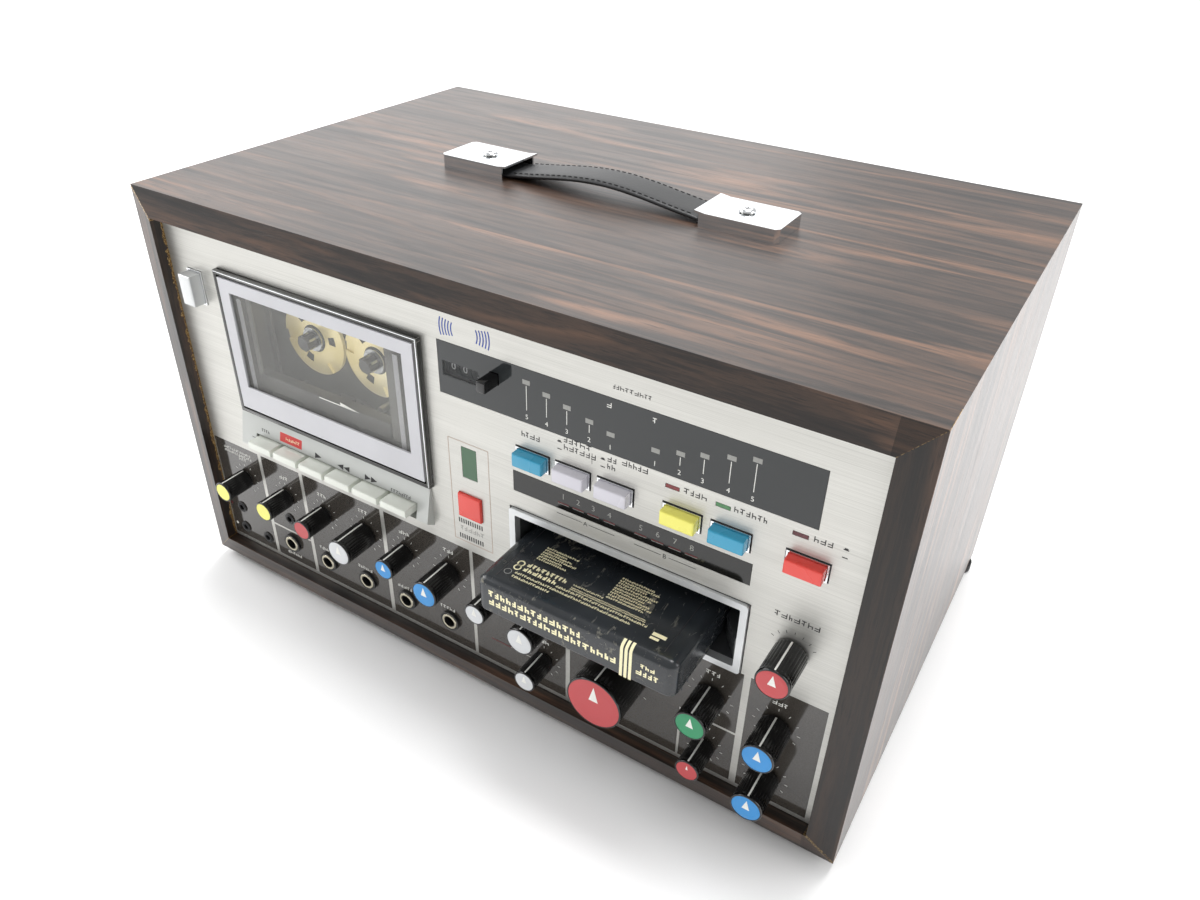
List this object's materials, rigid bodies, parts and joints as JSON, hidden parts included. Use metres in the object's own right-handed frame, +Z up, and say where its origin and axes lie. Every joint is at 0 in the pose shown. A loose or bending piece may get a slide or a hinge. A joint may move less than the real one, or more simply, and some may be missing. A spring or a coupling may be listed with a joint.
{
  "type": "8 track player",
  "caption": "Table-top eight-track cartridge player with a cassette deck, rotary controls, push buttons, piano keys and a carrying handle.",
  "frame": {"origin": "on the table, under the middle of the whole object with its cartridge inserted", "axes": "+X to the right of someone facing the controls, +Y to the rear, +Z up"},
  "size_m": [0.415, 0.2928, 0.2529],
  "materials": {
    "veneer": "satin",
    "hardboard": "matt",
    "rubber": "matt",
    "chrome": "polished",
    "strap": "satin",
    "steel": "satin",
    "panel": "brushed",
    "lens": "gloss",
    "black_plastic": "matt",
    "cartridge": "matt",
    "jack": "satin",
    "control": "satin",
    "door": "satin",
    "window": "clear",
    "silver_plastic": "satin",
    "brass": "satin",
    "belt": "matt",
    "board": "satin",
    "ivory": "gloss",
    "blue": "gloss",
    "grey": "gloss",
    "yellow": "gloss",
    "red": "gloss",
    "knob": "gloss",
    "black_gloss": "gloss"
  },
  "bodies": {
    "cabinet": {"cabinet_top": "veneer", "cabinet_carcass": "veneer", "rear_panel": "hardboard", "rubber_feet": "rubber", "handle_brackets": "chrome", "handle_strap": "strap", "screws": "steel", "chassis": "steel", "front_panel": "panel", "panel_lenses": "lens", "chrome_frames": "chrome", "cartridge_guide": "black_plastic", "jack_sockets": "jack", "control_blocks": "control", "cassette_well": "black_plastic", "key_bezel": "silver_plastic", "drive_motors": "steel", "drive_belt": "belt", "power_transformer": "steel", "circuit_boards": "board"},
    "key_stop": {"key_stop": "ivory"},
    "key_record": {"key_record": "ivory"},
    "key_play": {"key_play": "ivory"},
    "key_rewind": {"key_rewind": "ivory"},
    "key_forward": {"key_forward": "ivory"},
    "key_pause": {"key_pause": "ivory"},
    "button_select": {"button_select": "blue"},
    "button_tape_type": {"button_tape_type": "grey"},
    "button_side": {"button_side": "grey"},
    "button_cue": {"button_cue": "yellow"},
    "button_start": {"button_start": "blue"},
    "button_power": {"button_power": "red"},
    "button_auto": {"button_auto": "red"},
    "button_eject": {"button_eject": "chrome"},
    "button_reset": {"button_reset": "black_gloss"},
    "knob_yellow_left": {"knob_yellow_left": "knob"},
    "knob_yellow_right": {"knob_yellow_right": "knob"},
    "knob_red_small": {"knob_red_small": "knob"},
    "knob_white_large": {"knob_white_large": "knob"},
    "knob_blue_small": {"knob_blue_small": "knob"},
    "knob_blue_large": {"knob_blue_large": "knob"},
    "knob_white_small": {"knob_white_small": "knob"},
    "knob_silver_large": {"knob_silver_large": "knob"},
    "knob_silver_small": {"knob_silver_small": "knob"},
    "knob_volume": {"knob_volume": "knob"},
    "knob_green": {"knob_green": "knob"},
    "knob_red_low": {"knob_red_low": "knob"},
    "knob_tape_speed": {"knob_tape_speed": "knob"},
    "knob_blue_upper": {"knob_blue_upper": "knob"},
    "knob_blue_lower": {"knob_blue_lower": "knob"},
    "cartridge": {"cartridge": "cartridge"},
    "cassette_door": {"cassette_door": "door", "door_window": "window"},
    "reel_table_left": {"reel_table_left": "brass"},
    "reel_table_right": {"reel_table_right": "brass"},
    "head_bridge": {"head_bridge": "black_plastic"},
    "cassette_flywheel": {"cassette_flywheel": "steel"},
    "capstan_flywheel": {"capstan_flywheel": "steel"},
    "motor_pulley": {"motor_pulley": "brass"},
    "counter_wheels": {"counter_wheels": "black_plastic"}
  },
  "joints": [
    {"name": "knob_yellow_left_turn", "type": "hinge", "parent": "cabinet", "child": "knob_yellow_left", "pos_m": [-0.1685, -0.1124, 0.0722], "axis": [0, -1, 0], "range_deg": [-150, 150]},
    {"name": "knob_yellow_right_turn", "type": "hinge", "parent": "cabinet", "child": "knob_yellow_right", "pos_m": [-0.1351, -0.1124, 0.0722], "axis": [0, -1, 0], "range_deg": [-150, 150]},
    {"name": "knob_red_small_turn", "type": "hinge", "parent": "cabinet", "child": "knob_red_small", "pos_m": [-0.1051, -0.1124, 0.0722], "axis": [0, -1, 0], "range_deg": [-150, 150]},
    {"name": "knob_white_large_turn", "type": "hinge", "parent": "cabinet", "child": "knob_white_large", "pos_m": [-0.0742, -0.1124, 0.0726], "axis": [0, -1, 0], "range_deg": [-150, 150]},
    {"name": "knob_blue_small_turn", "type": "hinge", "parent": "cabinet", "child": "knob_blue_small", "pos_m": [-0.0453, -0.1124, 0.0726], "axis": [0, -1, 0], "range_deg": [-150, 150]},
    {"name": "knob_blue_large_turn", "type": "hinge", "parent": "cabinet", "child": "knob_blue_large", "pos_m": [-0.0152, -0.1124, 0.0726], "axis": [0, -1, 0], "range_deg": [-150, 150]},
    {"name": "knob_white_small_turn", "type": "hinge", "parent": "cabinet", "child": "knob_white_small", "pos_m": [0.0145, -0.1124, 0.0722], "axis": [0, -1, 0], "range_deg": [-150, 150]},
    {"name": "knob_silver_large_turn", "type": "hinge", "parent": "cabinet", "child": "knob_silver_large", "pos_m": [0.0441, -0.1124, 0.0726], "axis": [0, -1, 0], "range_deg": [-150, 150]},
    {"name": "knob_silver_small_turn", "type": "hinge", "parent": "cabinet", "child": "knob_silver_small", "pos_m": [0.0441, -0.1124, 0.0423], "axis": [0, -1, 0], "range_deg": [-150, 150]},
    {"name": "knob_volume_turn", "type": "hinge", "parent": "cabinet", "child": "knob_volume", "pos_m": [0.0876, -0.1124, 0.0586], "axis": [0, -1, 0], "range_deg": [-150, 150]},
    {"name": "knob_green_turn", "type": "hinge", "parent": "cabinet", "child": "knob_green", "pos_m": [0.1357, -0.1124, 0.0721], "axis": [0, -1, 0], "range_deg": [-150, 150]},
    {"name": "knob_red_low_turn", "type": "hinge", "parent": "cabinet", "child": "knob_red_low", "pos_m": [0.1355, -0.1124, 0.0383], "axis": [0, -1, 0], "range_deg": [-150, 150]},
    {"name": "knob_tape_speed_turn", "type": "hinge", "parent": "cabinet", "child": "knob_tape_speed", "pos_m": [0.1684, -0.1124, 0.1182], "axis": [0, -1, 0], "range_deg": [-60, 60]},
    {"name": "knob_blue_upper_turn", "type": "hinge", "parent": "cabinet", "child": "knob_blue_upper", "pos_m": [0.1677, -0.1124, 0.0721], "axis": [0, -1, 0], "range_deg": [-150, 150]},
    {"name": "knob_blue_lower_turn", "type": "hinge", "parent": "cabinet", "child": "knob_blue_lower", "pos_m": [0.1666, -0.1124, 0.0381], "axis": [0, -1, 0], "range_deg": [-150, 150]},
    {"name": "button_select_press", "type": "slide", "parent": "cabinet", "child": "button_select", "axis": [0, 1, 0], "range_m": [0, 0.004], "stiffness_N_per_m": 300},
    {"name": "button_tape_type_press", "type": "slide", "parent": "cabinet", "child": "button_tape_type", "axis": [0, 1, 0], "range_m": [0, 0.004], "stiffness_N_per_m": 300},
    {"name": "button_side_press", "type": "slide", "parent": "cabinet", "child": "button_side", "axis": [0, 1, 0], "range_m": [0, 0.004], "stiffness_N_per_m": 300},
    {"name": "button_cue_press", "type": "slide", "parent": "cabinet", "child": "button_cue", "axis": [0, 1, 0], "range_m": [0, 0.004], "stiffness_N_per_m": 300},
    {"name": "button_start_press", "type": "slide", "parent": "cabinet", "child": "button_start", "axis": [0, 1, 0], "range_m": [0, 0.004], "stiffness_N_per_m": 300},
    {"name": "button_power_press", "type": "slide", "parent": "cabinet", "child": "button_power", "axis": [0, 1, 0], "range_m": [0, 0.004], "stiffness_N_per_m": 300},
    {"name": "button_auto_press", "type": "slide", "parent": "cabinet", "child": "button_auto", "axis": [0, 1, 0], "range_m": [0, 0.001], "stiffness_N_per_m": 300},
    {"name": "button_eject_press", "type": "slide", "parent": "cabinet", "child": "button_eject", "axis": [0, 1, 0], "range_m": [0, 0.004], "stiffness_N_per_m": 300},
    {"name": "button_reset_press", "type": "slide", "parent": "cabinet", "child": "button_reset", "axis": [0, 1, 0], "range_m": [0, 0.004], "stiffness_N_per_m": 300},
    {"name": "key_stop_press", "type": "hinge", "parent": "cabinet", "child": "key_stop", "pos_m": [-0.09, -0.0589, 0.11045], "axis": [1, 0, 0], "range_deg": [0, 4], "stiffness_Nm_per_rad": 3},
    {"name": "key_record_press", "type": "hinge", "parent": "cabinet", "child": "key_record", "pos_m": [-0.09, -0.0589, 0.11045], "axis": [1, 0, 0], "range_deg": [0, 4], "stiffness_Nm_per_rad": 3},
    {"name": "key_play_press", "type": "hinge", "parent": "cabinet", "child": "key_play", "pos_m": [-0.09, -0.0589, 0.11045], "axis": [1, 0, 0], "range_deg": [0, 4]},
    {"name": "key_rewind_press", "type": "hinge", "parent": "cabinet", "child": "key_rewind", "pos_m": [-0.09, -0.0589, 0.11045], "axis": [1, 0, 0], "range_deg": [0, 4], "stiffness_Nm_per_rad": 3},
    {"name": "key_forward_press", "type": "hinge", "parent": "cabinet", "child": "key_forward", "pos_m": [-0.09, -0.0589, 0.11045], "axis": [1, 0, 0], "range_deg": [0, 4], "stiffness_Nm_per_rad": 3},
    {"name": "key_pause_press", "type": "hinge", "parent": "cabinet", "child": "key_pause", "pos_m": [-0.09, -0.0589, 0.11045], "axis": [1, 0, 0], "range_deg": [0, 4], "stiffness_Nm_per_rad": 3},
    {"name": "cartridge_slide", "type": "slide", "parent": "cabinet", "child": "cartridge", "axis": [0, -1, 0], "range_m": [0, 0.105]},
    {"name": "cassette_door_open", "type": "hinge", "parent": "cabinet", "child": "cassette_door", "pos_m": [-0.08785, -0.1127, 0.1314], "axis": [1, 0, 0], "range_deg": [0, 28]},
    {"name": "reel_table_left_spin", "type": "hinge", "parent": "cabinet", "child": "reel_table_left", "pos_m": [-0.1115, -0.0924, 0.1733], "axis": [0, 1, 0], "continuous": true},
    {"name": "reel_table_right_spin", "type": "hinge", "parent": "cabinet", "child": "reel_table_right", "pos_m": [-0.069, -0.0924, 0.1733], "axis": [0, 1, 0], "continuous": true},
    {"name": "cassette_flywheel_spin", "type": "hinge", "parent": "cabinet", "child": "cassette_flywheel", "pos_m": [-0.06395, -0.0924, 0.1485], "axis": [0, 1, 0], "continuous": true},
    {"name": "head_bridge_lift", "type": "slide", "parent": "cabinet", "child": "head_bridge", "axis": [0, 0, 1], "range_m": [0, 0.006], "stiffness_N_per_m": 20},
    {"name": "capstan_flywheel_spin", "type": "hinge", "parent": "cabinet", "child": "capstan_flywheel", "pos_m": [0.0594, -0.0099, 0.05], "axis": [0, 0, 1], "continuous": true},
    {"name": "motor_pulley_spin", "type": "hinge", "parent": "cabinet", "child": "motor_pulley", "pos_m": [0.1214, -0.0099, 0.05], "axis": [0, 0, 1], "continuous": true},
    {"name": "counter_wheels_spin", "type": "hinge", "parent": "cabinet", "child": "counter_wheels", "pos_m": [0.001, -0.1009, 0.1965], "axis": [1, 0, 0], "continuous": true}
  ],
  "couplings": [
    {"joint": "key_play_press", "follows": "head_bridge_lift", "rad_per_m": 11.635},
    {"joint": "motor_pulley_spin", "follows": "capstan_flywheel_spin", "ratio": 6.8}
  ]
}
